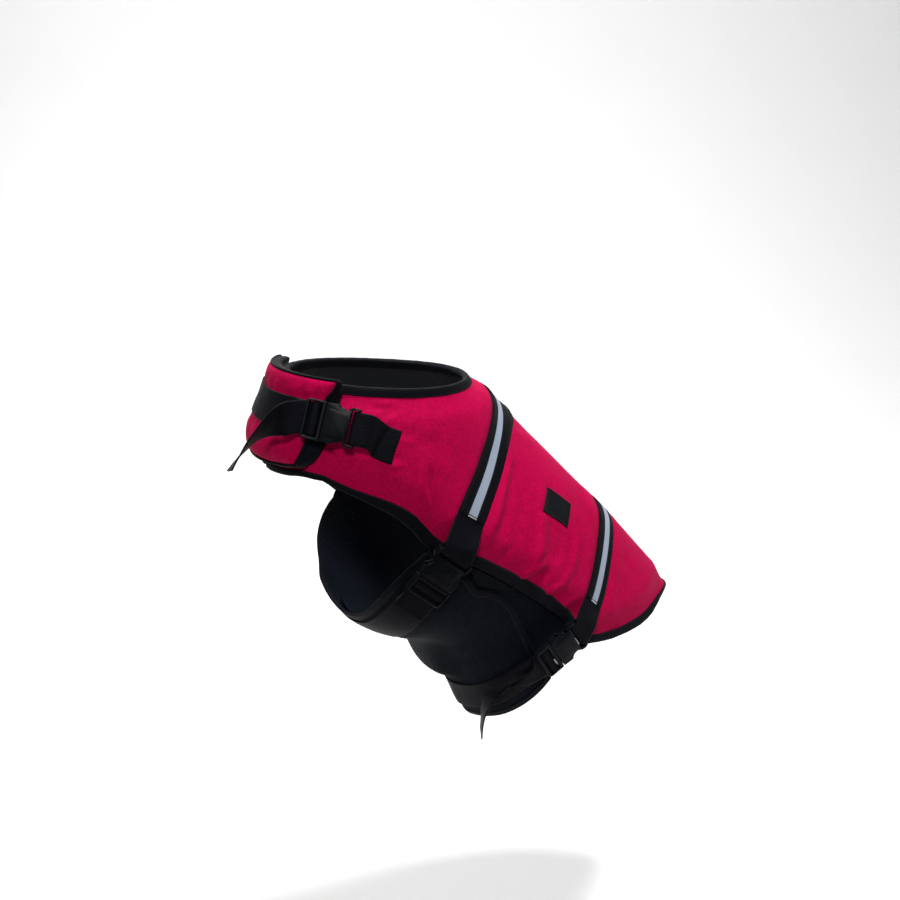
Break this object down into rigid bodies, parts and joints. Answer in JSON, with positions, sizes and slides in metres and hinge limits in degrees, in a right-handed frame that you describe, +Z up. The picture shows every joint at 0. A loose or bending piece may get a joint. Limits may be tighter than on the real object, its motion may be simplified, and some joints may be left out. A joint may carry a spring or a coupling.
{
  "type": "dog life jacket",
  "caption": "Padded dog life jacket in worn shape: back panel with shoulder wings, chest float, lapped mesh belly, and webbing straps with side-release buckles.",
  "frame": {"origin": "inside of the back panel over the shoulder blades, where the wearer's back holds the jacket", "axes": "+Z up; +X towards the wearer's rump, so the wearer faces -X; -Y is the wearer's left, where the buckles are"},
  "size_m": [0.586, 0.2558, 0.4237],
  "materials": {
    "red_oxford_cloth": "matte weave",
    "black_mesh": "matte knit",
    "black_webbing": "ribbed weave",
    "black_binding": "matte weave",
    "reflective_tape": "retroreflective satin",
    "black_buckle_plastic": "fine satin",
    "label_cloth": "woven satin"
  },
  "bodies": {
    "root": {"back_panel": "red_oxford_cloth", "back_panel_binding": "black_binding", "belly_flap_binding": "black_binding", "belly_panel_left": "black_mesh", "belly_panel_right": "black_mesh", "chest_buckle_latch": "black_buckle_plastic", "chest_buckle_socket": "black_buckle_plastic", "chest_float": "red_oxford_cloth", "chest_float_gusset": "black_binding", "chest_strap": "black_webbing", "front_belly_strap": "black_webbing", "front_buckle_latch": "black_buckle_plastic", "front_buckle_socket": "black_buckle_plastic", "front_reflective_tape": "reflective_tape", "front_strap": "black_webbing", "label_patch": "label_cloth", "rear_belly_strap": "black_webbing", "rear_buckle_latch": "black_buckle_plastic", "rear_buckle_socket": "black_buckle_plastic", "rear_loop": "black_binding", "rear_reflective_tape": "reflective_tape", "rear_strap": "black_webbing", "shoulder_tab": "black_webbing", "side_patch": "black_binding"}
  },
  "joints": []
}
